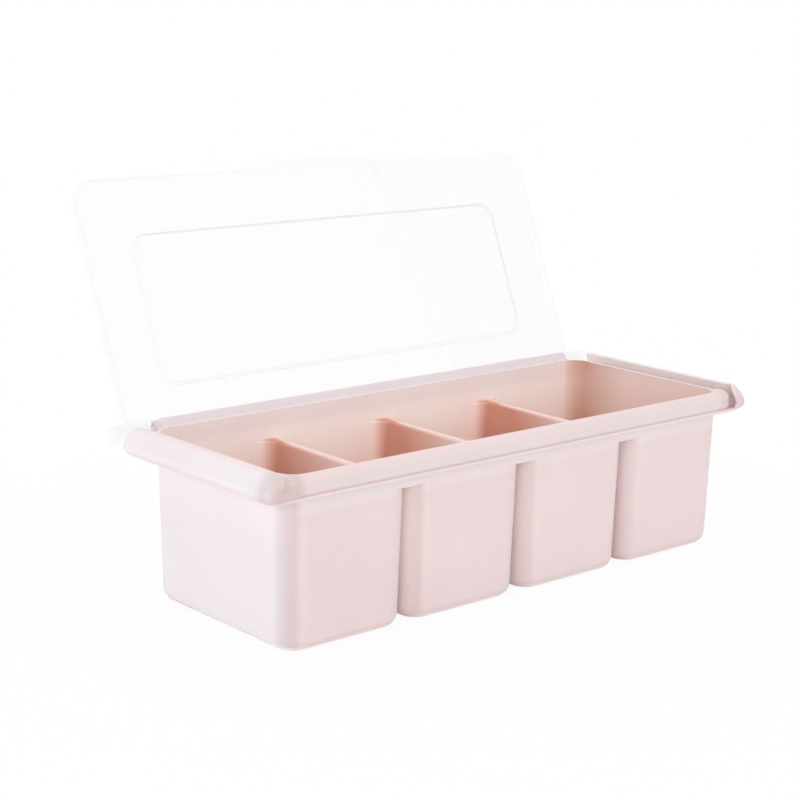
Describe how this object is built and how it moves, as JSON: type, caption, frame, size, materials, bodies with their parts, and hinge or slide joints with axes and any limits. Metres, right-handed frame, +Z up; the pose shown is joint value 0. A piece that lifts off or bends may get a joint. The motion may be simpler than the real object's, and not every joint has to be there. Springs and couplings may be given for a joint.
{
  "type": "lidded condiment caddy",
  "caption": "Long condiment tray with a row of deep open wells, a rolled rim with raised end lips, and a clear lid hinged along the back that leans open on its stops.",
  "frame": {"origin": "centre of the tray's footprint, on the plane of its flat underside", "axes": "+X along the row of wells to the right, +Y to the back where the lid is hinged, +Z up"},
  "size_m": [0.3102, 0.173, 0.1947],
  "materials": {
    "tray_plastic": "satin, slightly translucent",
    "lid_plastic": "clear, polished"
  },
  "bodies": {
    "tray": {"tray": "tray_plastic"},
    "lid": {"lid": "lid_plastic"}
  },
  "joints": [
    {"name": "lid_hinge", "type": "hinge", "parent": "tray", "child": "lid", "pos_m": [0, 0.0605, 0.0798], "axis": [1, 0, 0], "range_deg": [0, 112.3]}
  ]
}
